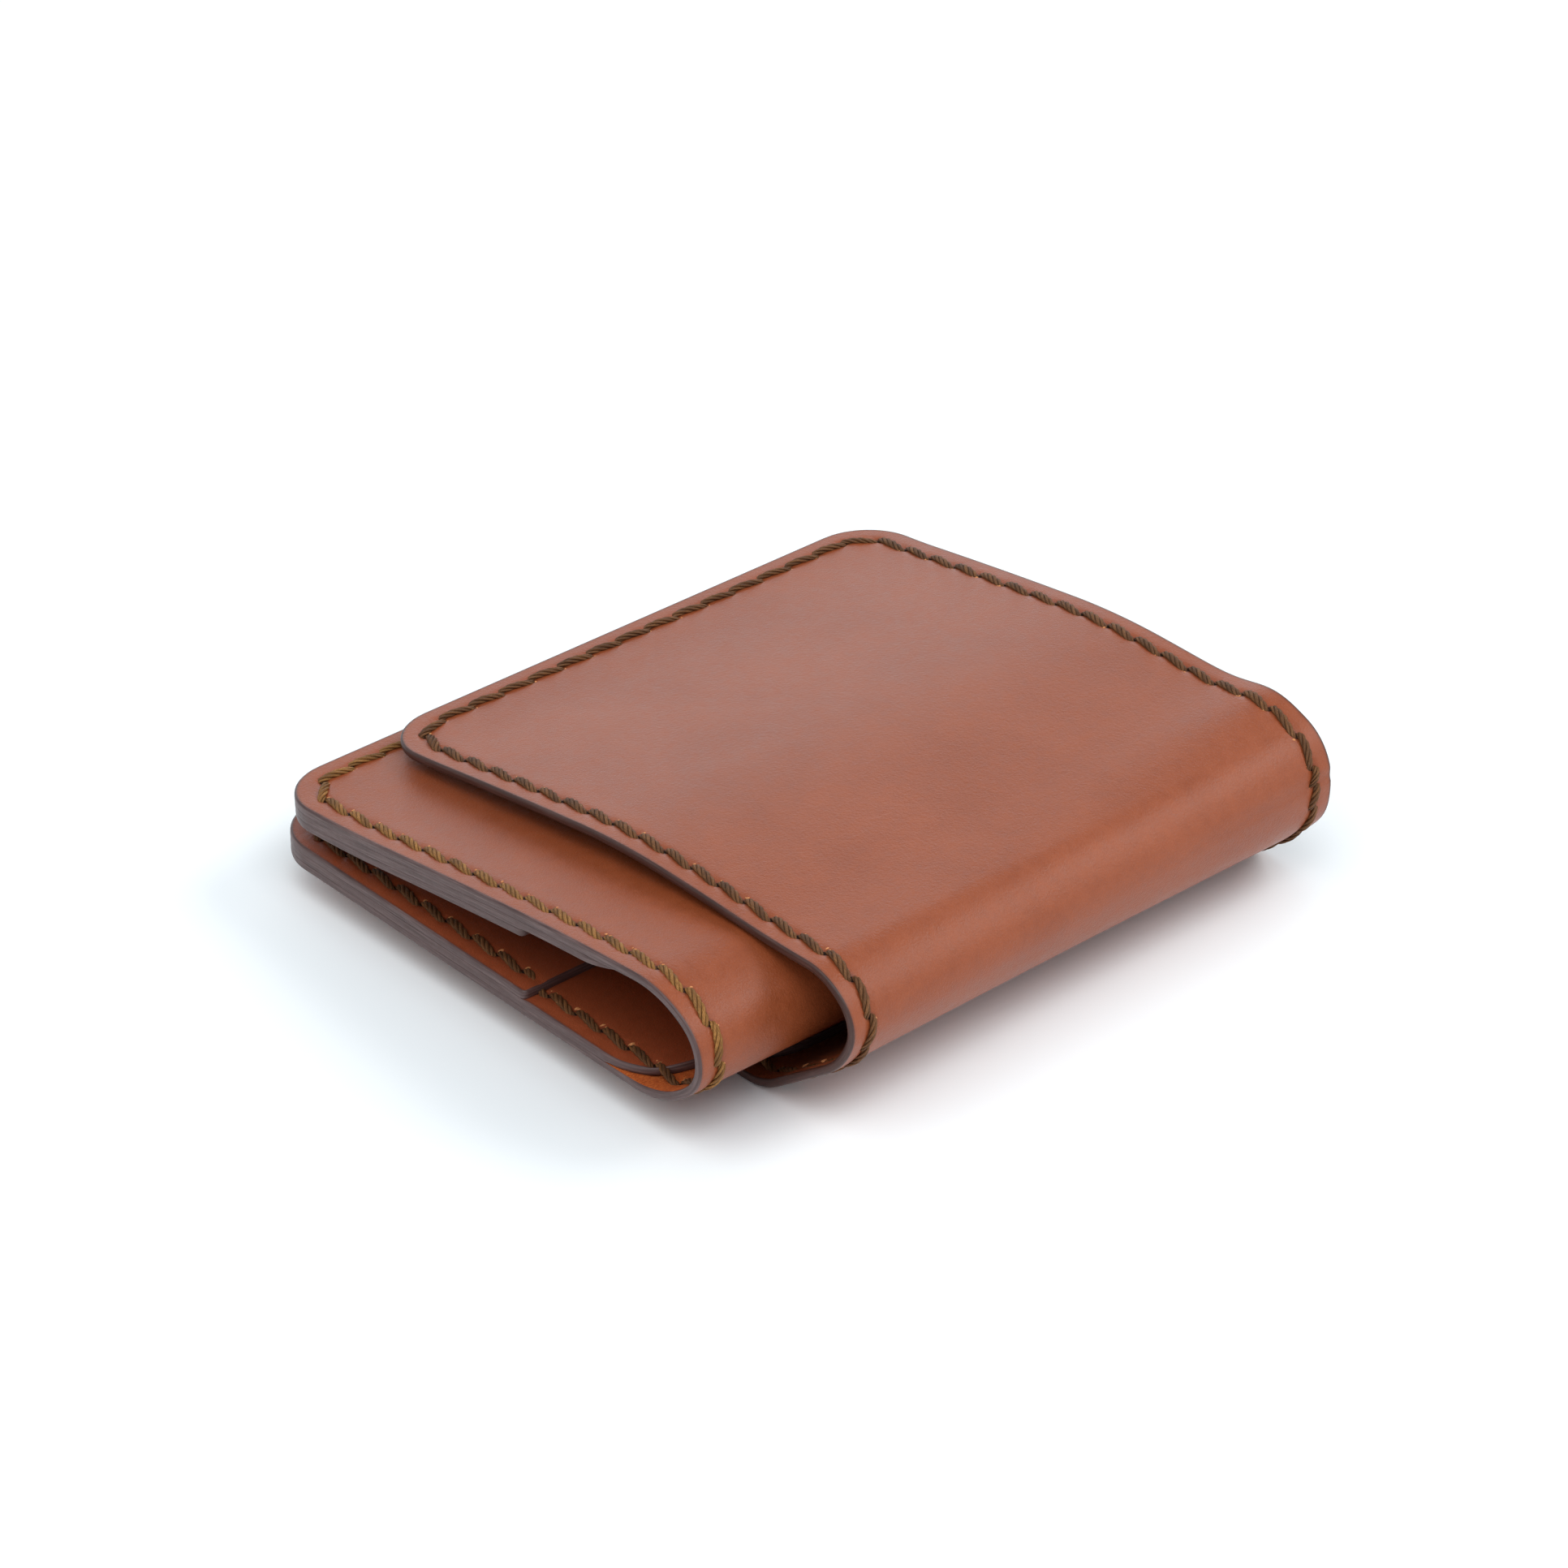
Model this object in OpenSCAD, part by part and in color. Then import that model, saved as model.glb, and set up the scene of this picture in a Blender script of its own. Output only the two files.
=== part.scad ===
// Two nested bifold card wallets in vegetable-tanned leather.
// A wrap-around outer wallet folds over a smaller inner wallet, which slides
// out along the fold. Both are drawn closed. X runs from the free edges to the
// folds, Y runs along the folds and Z is up. The origin is the middle of the
// flat underside of the outer wallet.

/* [Leather] */
// Thickness of one leather layer
leather_t = 1.3; // [1.1:0.1:1.4]
// Length of both wallets along the fold
wallet_l = 95; // [90:1:105]
// Corner radius at the free edges
corner_r = 9; // [4:1:12]
// Corner radius of the lower pockets beside the fold
pocket_corner_r = 11; // [4:1:14]

/* [Outer wallet] */
// Length of the flat base, from its free edge to the fold
outer_base_l = 81; // [78:0.5:83]
// Length of the upper pocket, from the free edge to its mouth
outer_upper_l = 55; // [40:1:60]

/* [Inner wallet] */
// Height of the underside of the inner wallet above the table
inner_lift = 5.0; // [4.8:0.1:5.2]
// Length of the flat base, from its free edge to the fold
inner_base_l = 81.6; // [79:0.1:82.5]
// How far the free edge of its base stands out past that of the outer wallet
inner_base_out = 3.5; // [0:0.1:4]
// How far the free edge of its flap stands out past that of the outer wallet
inner_flap_out = 2; // [0:0.1:4]
// Length of the base's upper pocket, from the free edge to its mouth
inner_base_upper_l = 58.5; // [40:0.5:62]
// Length of the flap's upper pocket, from the free edge to its mouth
inner_flap_upper_l = 57; // [40:0.5:62]
// Distance that the inner wallet is drawn out of the outer one
drawn_out = 17.5; // [0:0.5:60]

/* [Stitching] */
// Distance of the seam from the leather's edge
seam_margin = 3.5; // [3:0.1:4.5]
// Distance from one stitch to the next
stitch_pitch = 5.6; // [4:0.1:6]
// Length of one stitch on the surface
stitch_l = 4.8; // [3.5:0.1:5]
// Width of the thread
thread_w = 1.4; // [0.8:0.1:1.6]
// Height of a stitch above the leather
thread_h = 0.3; // [0.2:0.05:0.35]
// Slant of a stitch from the line of the seam
stitch_slant = 13; // [0:1:20]

/* [Hidden] */

tan_leather = [0.58, 0.29, 0.18];
dark_leather = [0.50, 0.24, 0.14];
thread_brown = [0.36, 0.25, 0.11];

// The middle line of each shell in the XZ plane, from the free edge of the
// base, round the fold, to the free edge of the flap. Each piece is
// [length, turn in degrees], and a piece with a turn is a circular arc.
outer_line = [
    [outer_base_l, 0], [7, 36], [12.3, 0], [8, 34], [6.5, 66], [8, 46],
    [14, -4], [16, 2], [18, 8], [30, 1.5], [15.8, -6]
];
inner_line = [
    [inner_base_l, 0], [13.1, 46], [11.5, 100], [10.5, 38],
    [28, 3], [28, 1], [12, -3], [11.4 + inner_flap_out, -2.5]
];
outer_start = [-outer_base_l / 2, leather_t / 2];
inner_start = [-outer_base_l / 2 - inner_base_out, inner_lift + leather_t / 2];

// Where each shell is hinged, as lengths along its middle line from the end
// of the flat base: low in the fold, round its outside, and at its top.
outer_hinges = [3.5, 28, 35.5];
inner_hinges = [6.5, 18.5, 26.5];
hinge_gap = 0.7;      // each shell piece stops this short of a hinge line
layer_gap = 0.1;      // between two layers sewn together
facet_turn = 6;       // degrees of turn covered by one facet
sink = 0.15;          // how far a stitch is pulled into the leather
big = 400;

outer_low = outer_base_l + outer_hinges[0];
outer_mid = outer_base_l + outer_hinges[1];
outer_top = outer_base_l + outer_hinges[2];
outer_end = line_length(outer_line);
inner_low = inner_base_l + inner_hinges[0];
inner_mid = inner_base_l + inner_hinges[1];
inner_top = inner_base_l + inner_hinges[2];
inner_end = line_length(inner_line);
base_pocket_l = outer_base_l + 2;   // lower pocket of the outer base
inner_base_pocket_l = inner_base_l + 5;
inner_flap_pocket_l = 79 + inner_flap_out;
free_x = -outer_base_l / 2;
inner_base_x = free_x - inner_base_out;
inner_flap_x = free_x - inner_flap_out;

// ---- the middle line ----

function line_length(line, i = 0) =
    i == len(line) ? 0 : line[i][0] + line_length(line, i + 1);

function piece_end(p, heading, l, turn) =
    turn == 0
        ? p + l * [cos(heading), sin(heading)]
        : p + l * 180 / (PI * turn) * [
              sin(heading + turn) - sin(heading),
              cos(heading) - cos(heading + turn)
          ];

// [position, heading] at length s along a line
function place(line, s, p, heading = 0, i = 0) =
    let (l = line[i][0], turn = line[i][1])
    s <= l || i == len(line) - 1
        ? [piece_end(p, heading, s, turn * s / l), heading + turn * s / l]
        : place(line, s - l, piece_end(p, heading, l, turn), heading + turn, i + 1);

function piece_start(line, i) =
    i == 0 ? 0 : line[i - 1][0] + piece_start(line, i - 1);

// Lengths at which a strip from s0 to s1 has a corner
function stations(line, s0, s1) = concat(
    [s0],
    [
        for (i = [0:len(line) - 1])
            let (
                steps = max(1, ceil(abs(line[i][1]) / facet_turn)),
                start = piece_start(line, i)
            )
            for (k = [1:steps])
                let (s = start + line[i][0] * k / steps)
                if (s > s0 + 0.3 && s < s1 - 0.3) s
    ],
    [s1]
);

// The point at length s, moved off the middle line towards the inside
function beside(line, start, s, off) =
    let (at = place(line, s, start))
    at[0] + off * [-sin(at[1]), cos(at[1])];

function strip_outline(line, start, s0, s1, off0, off1) =
    let (marks = stations(line, s0, s1), last = len(marks) - 1)
    concat(
        [for (i = [0:last]) beside(line, start, marks[i], off0)],
        [for (i = [0:last]) beside(line, start, marks[last - i], off1)]
    );

// ---- leather ----

// A sheet of leather that follows the line from s0 to s1
module strip(line, start, s0, s1, off0, off1) {
    translate([0, wallet_l / 2, 0])
        rotate([90, 0, 0])
            linear_extrude(wallet_l)
                polygon(strip_outline(line, start, s0, s1, off0, off1));
}

// A plan from x0 to x1 with its two corners at x0 rounded to r0, those at x1 to r1
module rounded_plan(x0, x1, r0, r1) {
    half = wallet_l / 2;
    square_plan = [
        [x0 + r0, -half], [x1 - r1, -half], [x1, -half + r1], [x1, half - r1],
        [x1 - r1, half], [x0 + r0, half], [x0, half - r0], [x0, -half + r0]
    ];
    translate([0, 0, -10])
        linear_extrude(60)
            union() {
                polygon(square_plan);
                for (side = [-1, 1]) {
                    if (r0 > 0)
                        translate([x0 + r0, side * (half - r0)]) circle(r0, $fn = 48);
                    if (r1 > 0)
                        translate([x1 - r1, side * (half - r1)]) circle(r1, $fn = 48);
                }
            }
}

// A sheet with its free edge at x0, whose free corners are rounded and, where
// inner_r isn't 0, its corners beside the fold at x1 too
module panel(line, start, s0, s1, off0, off1, x0, x1 = big, inner_r = 0) {
    intersection() {
        strip(line, start, s0, s1, off0, off1);
        rounded_plan(x0, x1, corner_r, inner_r);
    }
}

shell_in = leather_t / 2;
lower_top = shell_in + leather_t;
upper_top = lower_top + leather_t;

// ---- stitches ----

// One slanted stitch on the surface at offset off, on the outside or the inside
module stitch(line, start, s, y, off, outside, along_y = false, slant = stitch_slant) {
    at = place(line, s, start);
    p = at[0] + off * [-sin(at[1]), cos(at[1])];
    lift = outside ? -thread_h : -sink;
    turn = (along_y ? 90 : 0) + (outside ? -slant : slant);
    translate([p[0], y, p[1]])
        rotate([0, -at[1], 0])
            rotate([0, 0, turn])
                translate([-stitch_l / 2, -thread_w / 2, lift])
                    cube([stitch_l, thread_w, thread_h + sink]);
}

// Stitches along both ends of a sheet, from s0 to s1
module end_seams(line, start, s0, s1, off, outside) {
    count = max(1, floor((s1 - s0) / stitch_pitch));
    first = (s0 + s1 - (count - 1) * stitch_pitch) / 2;
    y = wallet_l / 2 - seam_margin;
    for (i = [0:count - 1])
        for (side = [-1, 1])
            stitch(line, start, first + i * stitch_pitch, side * y, off, outside);
}

// Stitches along the free edge, which lies at length s
module edge_seam(line, start, s, off, outside) {
    run = wallet_l - 2 * corner_r;
    count = floor(run / stitch_pitch);
    for (i = [0:count - 1])
        stitch(line, start, s, (i - (count - 1) / 2) * stitch_pitch, off, outside, true);
}

// ---- outer wallet ----

module outer_base_shell() {
    color(tan_leather)
        panel(outer_line, outer_start, 0, outer_low - hinge_gap, -shell_in, shell_in,
              free_x);
}

module outer_base_lower_pocket() {
    color(dark_leather)
        panel(outer_line, outer_start, 0, base_pocket_l, shell_in + layer_gap, lower_top,
              free_x, free_x + base_pocket_l - 0.2, pocket_corner_r);
}

module outer_base_upper_pocket() {
    color(tan_leather)
        panel(outer_line, outer_start, 0, outer_upper_l, lower_top + layer_gap, upper_top,
              free_x);
}

module outer_base_thread() {
    color(thread_brown) {
        end_seams(outer_line, outer_start, corner_r, outer_upper_l - 1, upper_top, false);
        end_seams(outer_line, outer_start, outer_upper_l + 1, outer_base_l - 8,
                  lower_top, false);
        edge_seam(outer_line, outer_start, seam_margin, upper_top, false);
    }
}

module outer_fold_low_shell() {
    color(tan_leather)
        strip(outer_line, outer_start, outer_low + hinge_gap, outer_mid - hinge_gap,
              -shell_in, shell_in);
}

module outer_fold_low_thread() {
    color(thread_brown)
        end_seams(outer_line, outer_start, outer_low + 1.2, outer_mid - 1, -shell_in, true);
}

module outer_fold_high_shell() {
    color(tan_leather)
        strip(outer_line, outer_start, outer_mid + hinge_gap, outer_top - hinge_gap,
              -shell_in, shell_in);
}

module outer_fold_high_thread() {
    color(thread_brown)
        end_seams(outer_line, outer_start, outer_mid + 1, outer_top - 1, -shell_in, true);
}

module outer_flap_shell() {
    color(tan_leather)
        panel(outer_line, outer_start, outer_top + hinge_gap, outer_end, -shell_in, shell_in,
              free_x);
}

module outer_flap_thread() {
    color(thread_brown) {
        end_seams(outer_line, outer_start, outer_top + 1, outer_end - corner_r, -shell_in, true);
        edge_seam(outer_line, outer_start, outer_end - seam_margin, -shell_in, true);
    }
}

// ---- inner wallet ----

module inner_base_shell() {
    color(tan_leather)
        translate([0, -drawn_out, 0])
            panel(inner_line, inner_start, 0, inner_low - hinge_gap, -shell_in, shell_in,
                  inner_base_x);
}

module inner_base_lower_pocket() {
    color(dark_leather)
        translate([0, -drawn_out, 0])
            panel(inner_line, inner_start, 0, inner_base_pocket_l, shell_in + layer_gap,
                  lower_top, inner_base_x, inner_base_x + inner_base_pocket_l - 0.4,
                  pocket_corner_r);
}

module inner_base_upper_pocket() {
    color(dark_leather)
        translate([0, -drawn_out, 0])
            panel(inner_line, inner_start, 0, inner_base_upper_l, lower_top + layer_gap,
                  upper_top, inner_base_x);
}

module inner_base_thread() {
    color(thread_brown)
        translate([0, -drawn_out, 0]) {
            end_seams(inner_line, inner_start, corner_r, inner_base_upper_l - 1, upper_top,
                      false);
            end_seams(inner_line, inner_start, inner_base_upper_l + 1, inner_base_l - 6,
                      lower_top, false);
            edge_seam(inner_line, inner_start, seam_margin, upper_top, false);
            end_seams(inner_line, inner_start, corner_r, inner_low - 1, -shell_in, true);
            edge_seam(inner_line, inner_start, seam_margin, -shell_in, true);
        }
}

module inner_fold_low_shell() {
    color(tan_leather)
        translate([0, -drawn_out, 0])
            strip(inner_line, inner_start, inner_low + hinge_gap, inner_mid - hinge_gap,
                  -shell_in, shell_in);
}

module inner_fold_low_thread() {
    color(thread_brown)
        translate([0, -drawn_out, 0])
            end_seams(inner_line, inner_start, inner_low + 1, inner_mid - 0.8, -shell_in, true);
}

module inner_fold_high_shell() {
    color(tan_leather)
        translate([0, -drawn_out, 0])
            strip(inner_line, inner_start, inner_mid + hinge_gap, inner_top - hinge_gap,
                  -shell_in, shell_in);
}

module inner_fold_high_thread() {
    color(thread_brown)
        translate([0, -drawn_out, 0])
            end_seams(inner_line, inner_start, inner_mid + 1, inner_top - 0.8, -shell_in, true);
}

module inner_flap_shell() {
    color(tan_leather)
        translate([0, -drawn_out, 0])
            panel(inner_line, inner_start, inner_top + hinge_gap, inner_end,
                  -shell_in, shell_in, inner_flap_x);
}

module inner_flap_lower_pocket() {
    color(dark_leather)
        translate([0, -drawn_out, 0])
            panel(inner_line, inner_start, inner_end - inner_flap_pocket_l, inner_end,
                  shell_in + layer_gap, lower_top, inner_flap_x,
                  inner_flap_x + inner_flap_pocket_l, pocket_corner_r);
}

module inner_flap_upper_pocket() {
    color(dark_leather)
        translate([0, -drawn_out, 0])
            panel(inner_line, inner_start, inner_end - inner_flap_upper_l, inner_end,
                  lower_top + layer_gap, upper_top, inner_flap_x);
}

module inner_flap_thread() {
    color(thread_brown)
        translate([0, -drawn_out, 0]) {
            end_seams(inner_line, inner_start, inner_top + 1, inner_end - corner_r,
                      -shell_in, true);
            edge_seam(inner_line, inner_start, inner_end - seam_margin, -shell_in, true);
            end_seams(inner_line, inner_start, inner_end - inner_flap_upper_l + 1,
                      inner_end - corner_r, upper_top, false);
            edge_seam(inner_line, inner_start, inner_end - seam_margin, upper_top, false);
        }
}

outer_base_shell();
outer_base_lower_pocket();
outer_base_upper_pocket();
outer_base_thread();
outer_fold_low_shell();
outer_fold_low_thread();
outer_fold_high_shell();
outer_fold_high_thread();
outer_flap_shell();
outer_flap_thread();
inner_base_shell();
inner_base_lower_pocket();
inner_base_upper_pocket();
inner_base_thread();
inner_fold_low_shell();
inner_fold_low_thread();
inner_fold_high_shell();
inner_fold_high_thread();
inner_flap_shell();
inner_flap_lower_pocket();
inner_flap_upper_pocket();
inner_flap_thread();
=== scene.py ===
"""Two nested bifold card wallets in saddle-stitched vegetable-tanned leather.

The frame is in metres. Everything below is worked out in millimetres and
scaled by MM when a mesh is made. A point of a wallet is given by s, the length
along the middle of its leather from the free edge of the base, round the fold,
to the free edge of the flap; by y along the fold; and by off, its distance
from the middle of the shell towards the inside.
"""

import math

import bmesh
import bpy
import numpy as np
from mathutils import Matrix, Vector

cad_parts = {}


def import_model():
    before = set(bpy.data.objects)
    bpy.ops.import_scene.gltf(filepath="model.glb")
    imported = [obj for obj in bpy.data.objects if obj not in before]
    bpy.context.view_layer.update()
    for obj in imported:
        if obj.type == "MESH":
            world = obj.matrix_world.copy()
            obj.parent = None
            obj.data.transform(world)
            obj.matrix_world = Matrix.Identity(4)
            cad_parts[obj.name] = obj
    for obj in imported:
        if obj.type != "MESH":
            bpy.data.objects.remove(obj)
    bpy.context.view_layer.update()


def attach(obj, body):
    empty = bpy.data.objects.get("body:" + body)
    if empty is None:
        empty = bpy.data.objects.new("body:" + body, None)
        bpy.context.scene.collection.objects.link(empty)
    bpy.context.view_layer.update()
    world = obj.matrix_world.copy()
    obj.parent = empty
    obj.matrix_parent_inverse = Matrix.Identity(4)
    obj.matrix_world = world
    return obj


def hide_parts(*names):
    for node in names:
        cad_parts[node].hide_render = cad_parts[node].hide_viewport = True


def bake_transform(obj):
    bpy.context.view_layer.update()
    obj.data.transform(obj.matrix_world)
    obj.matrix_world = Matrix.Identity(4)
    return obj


MM = 0.001
HALF_L = 47.5           # half the length of both wallets along the fold
CORNER_R = 9.0          # rounded corners at the free edges
POCKET_R = 11.0         # corners of the lower pockets beside the fold
MOUTH_R = 0.8           # corners of an upper pocket's mouth
SHELL = 0.65            # half the thickness of a shell
LOWER = (0.655, 1.98)   # the lower pockets, from the middle of the shell
UPPER = (1.985, 3.25)   # the upper pockets
SEAM_MARGIN = 3.5       # from the edge to the seam
PITCH = 5.6             # about the distance from one stitch to the next
ROW_STEP = 0.84         # between the rows of a sheet's mesh
COLUMN_STEP = 1.25      # between its columns
EDGE_ZONE = 6.2         # finely divided strip along every edge
FINE_ROWS = 0.42        # between the rows in that strip
FINE_COLUMNS = 0.38     # between the columns in that strip
EDGE_BULGE = 0.03       # how far an edge swells out between its roundings
GROOVE = 0.17           # depth of the groove that the seam lies in
GROOVE_REACH = 0.85     # from its middle to its sides
FLAT_GROOVE = 0.50      # its depth under the outer base, where no thread may stand out
FLAT_END = 80.0         # to this length the outer base lies on the table
DENT = 0.30             # depth of the dent round a stitch hole
DENT_REACH = 0.75       # from its middle to its sides
FLUSH = 0.05            # rounding of edges that are sanded flush with a neighbour
PROUD = 0.34            # rounding of edges that stand free
FADE = (8, 1)           # before a pocket ends, rounding grows from flush to proud
PARTS = ("base", "fold", "flap")
INSIDE, OUTSIDE, EDGE = range(3)            # material slots of a sheet
BROWN, HOLE_SHADE, TORN, GOLDEN = range(4)        # material slots of a thread
SEED = 7

# Middle lines of the shells, from the free edge of the base: (length, turn in degrees)
OUTER_LINE = [
    (81.0, 0), (7.0, 36), (12.3, 0), (8.0, 34), (6.5, 66), (8.0, 46),
    (14.0, -4), (16.0, 2), (18.0, 8), (30.0, 1.5), (15.8, -6),
]
INNER_LINE = [
    (81.6, 0), (13.1, 46), (11.5, 100), (10.5, 38),
    (28.0, 3), (28.0, 1), (12.0, -3), (13.4, -2.5),
]
# The outer fold is pinched in towards its far end, and stands out beside the pinch:
# (how far in, at what length, over what spread, how late along the fold it sets in)
PINCH = ((4.4, 111.0, 6.5, 1), (-1.9, 129.0, 5.0, 5))


class Wallet:
    """One folded shell: its middle line, where it lies, its pockets and its seam.

    joins are the lengths at which the shell is cut into three pieces, hinges are a stretch
    of each piece, whose ends are worked out but bend nothing, and each pocket is its two
    offsets, its two ends and the radii of its corners there.
    """

    def __init__(self, name, line, free_x, lift, shift, pinch, joins, hinges, pockets):
        self.name = name
        self.line = line
        self.start = (free_x, lift + SHELL)
        self.shift = shift
        self.pinch = pinch
        self.length = sum(piece[0] for piece in line)
        self.joins = joins
        self.cuts = (-1.0, *joins, self.length + 1.0)
        self.hinges = hinges
        self.pockets = pockets

    def middle(self, s):
        """x, z and heading in radians of the middle line at lengths s."""
        s = np.asarray(s, float)
        x = np.zeros_like(s)
        z = np.zeros_like(s)
        heading = np.zeros_like(s)
        px, pz = self.start
        begun = 0.0
        angle = 0.0
        for number, (length, turn_deg) in enumerate(self.line):
            turn = math.radians(turn_deg)
            last = number == len(self.line) - 1
            here = (s >= begun) if last else (s >= begun) & (s < begun + length)
            if number == 0:
                here = here | (s < 0)
            along = s[here] - begun
            if turn == 0:
                x[here] = px + along * math.cos(angle)
                z[here] = pz + along * math.sin(angle)
                heading[here] = angle
                px += length * math.cos(angle)
                pz += length * math.sin(angle)
            else:
                radius = length / turn
                now = angle + along / radius
                x[here] = px + radius * (np.sin(now) - math.sin(angle))
                z[here] = pz + radius * (math.cos(angle) - np.cos(now))
                heading[here] = now
                px += radius * (math.sin(angle + turn) - math.sin(angle))
                pz += radius * (math.cos(angle) - math.cos(angle + turn))
            begun += length
            angle += turn
        return x, z, heading

    def place(self, s, y, off):
        """Points in metres, off being the distance from the middle line."""
        x, z, heading = self.middle(s)
        share = np.clip((np.asarray(y) + HALF_L) / (2 * HALF_L), 0, 1)
        for depth, at, spread, late in self.pinch:
            pinched = np.exp(-(((np.asarray(s) - at) / spread) ** 2) / 2)
            off = off + share ** late * depth * pinched
        px = x - off * np.sin(heading)
        pz = z + off * np.cos(heading)
        return np.stack([px, np.asarray(y) + self.shift, pz], -1) * MM

    def inside_top(self, s, y):
        """Offset of the inner surface at (s, y): shell, lower or upper pocket."""
        top = np.full(np.shape(s), SHELL)
        for _, high, begin, end, r0, r1 in self.pockets:
            inset = panel_inset(s, y, begin, end, r0, r1)
            top = np.where(inset > 0.2, np.maximum(top, high), top)
        return top


def panel_inset(s, y, s0, s1, r0, r1):
    """Distance inwards from the outline of a panel with rounded corners."""
    s = np.asarray(s, float)
    y = np.asarray(y, float)
    middle = (s0 + s1) / 2
    r = np.where(s < middle, r0, r1)
    q_s = np.abs(s - middle) - ((s1 - s0) / 2 - r)
    q_y = np.abs(y) - (HALF_L - r)
    outside = np.hypot(np.maximum(q_s, 0), np.maximum(q_y, 0))
    return r - outside - np.minimum(np.maximum(q_s, q_y), 0)


# ---- the seam ----

def seam_loop(length):
    """Closed path of the seam as points (s, y)."""
    r = CORNER_R - SEAM_MARGIN
    side = HALF_L - CORNER_R
    corners = [
        (length - CORNER_R, -side, -90), (length - CORNER_R, side, 0),
        (CORNER_R, side, 90), (CORNER_R, -side, 180),
    ]
    points = []
    for s, y, begin in corners:
        for turn in np.radians(np.linspace(begin, begin + 90, 19)):
            points.append((s + r * math.cos(turn), y + r * math.sin(turn)))
    points.append(points[0])
    return np.array(points)


def seam_holes(length, count, hole_s):
    """Evenly spaced holes of the seam, one of them at length hole_s on the near side,
    and the seam's direction at each."""
    loop = seam_loop(length)
    run = np.concatenate([[0], np.cumsum(np.hypot(*np.diff(loop, axis=0).T))])
    step = run[-1] / count
    phase = ((run[-1] - (length - CORNER_R - hole_s)) / step) % 1
    at = (np.arange(count) + phase) * step

    def spot(distance):
        return np.stack([np.interp(distance, run, loop[:, k]) for k in (0, 1)], -1)

    direction = spot((at + 0.5) % run[-1]) - spot((at - 0.5) % run[-1])
    direction /= np.linalg.norm(direction, axis=1)[:, None]
    return spot(at), direction


def lies_flat(wallet, s, side):
    """Whether the face at lengths s rests on the table."""
    return (np.asarray(s) < FLAT_END) & (side < 0) & (wallet.name == "outer")


def seam_pull(wallet, s, y, side):
    """How far the thread pulls the leather in at (s, y), and how near a hole it is."""
    inset = panel_inset(s, y, 0, wallet.length, CORNER_R, CORNER_R)
    depth = np.where(lies_flat(wallet, s, side), FLAT_GROOVE, GROOVE)
    groove = depth * np.exp(-(((inset - SEAM_MARGIN) / GROOVE_REACH) ** 2))
    near = np.zeros_like(groove)
    close = np.abs(inset - SEAM_MARGIN) < 2.5
    points = np.stack([s[close], y[close]], -1)
    best = np.zeros(len(points))
    block = 20000           # points at a time, to spare memory
    for begin in range(0, len(points), block):
        gap = points[begin:begin + block, None, :] - wallet.holes[None, :, :]
        best[begin:begin + block] = np.sqrt((gap ** 2).sum(-1)).min(1)
    near[close] = np.exp(-((best / DENT_REACH) ** 2))
    return groove + DENT * near, near


# ---- sheets of leather ----

def corner_steps(radius):
    """Distances from the edge to the rows of a rounded corner."""
    if radius < 2:
        return [0.0, 0.12 * radius, 0.45 * radius]
    steps = [0.0, 0.12, 0.35, 0.7, 1.1]
    while steps[-1] < EDGE_ZONE:
        steps.append(steps[-1] + FINE_ROWS)
    while steps[-1] < radius - 1.2:
        steps.append(steps[-1] + ROW_STEP)
    return steps


def sheet_rows(s0, s1, r0, r1, joins):
    """Rows of a sheet as (end, angle, s): end is -1 or 1 in a rounded corner, else 0."""
    rows = [(-1, math.acos(1 - d / r0), 0.0) for d in corner_steps(r0)]
    marks = [s0 + r0, *[j for j in joins if s0 + r0 < j < s1 - r1], s1 - r1]
    straight = [marks[0]]
    for a, b in zip(marks, marks[1:]):
        count = max(1, round((b - a) / ROW_STEP))
        straight += [a + (b - a) * k / count for k in range(1, count + 1)]
    rows += [(0, math.pi / 2, s) for s in straight]
    rows += [(1, math.acos(1 - d / r1), 0.0) for d in reversed(corner_steps(r1))]
    return rows


def sheet_columns():
    """Places across a sheet, from -1 to 1."""
    zone = [0.0, 0.15, 0.45, 0.85]
    while zone[-1] < EDGE_ZONE:
        zone.append(zone[-1] + FINE_COLUMNS)
    inner = HALF_L - zone[-1]
    count = round(2 * inner / COLUMN_STEP)
    middle = [inner * (1 - 2 * k / count) for k in range(1, count)]
    half = [HALF_L - d for d in zone]
    across = half + middle + [-v for v in reversed(half)]
    return np.array(sorted(across)) / HALF_L


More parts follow.
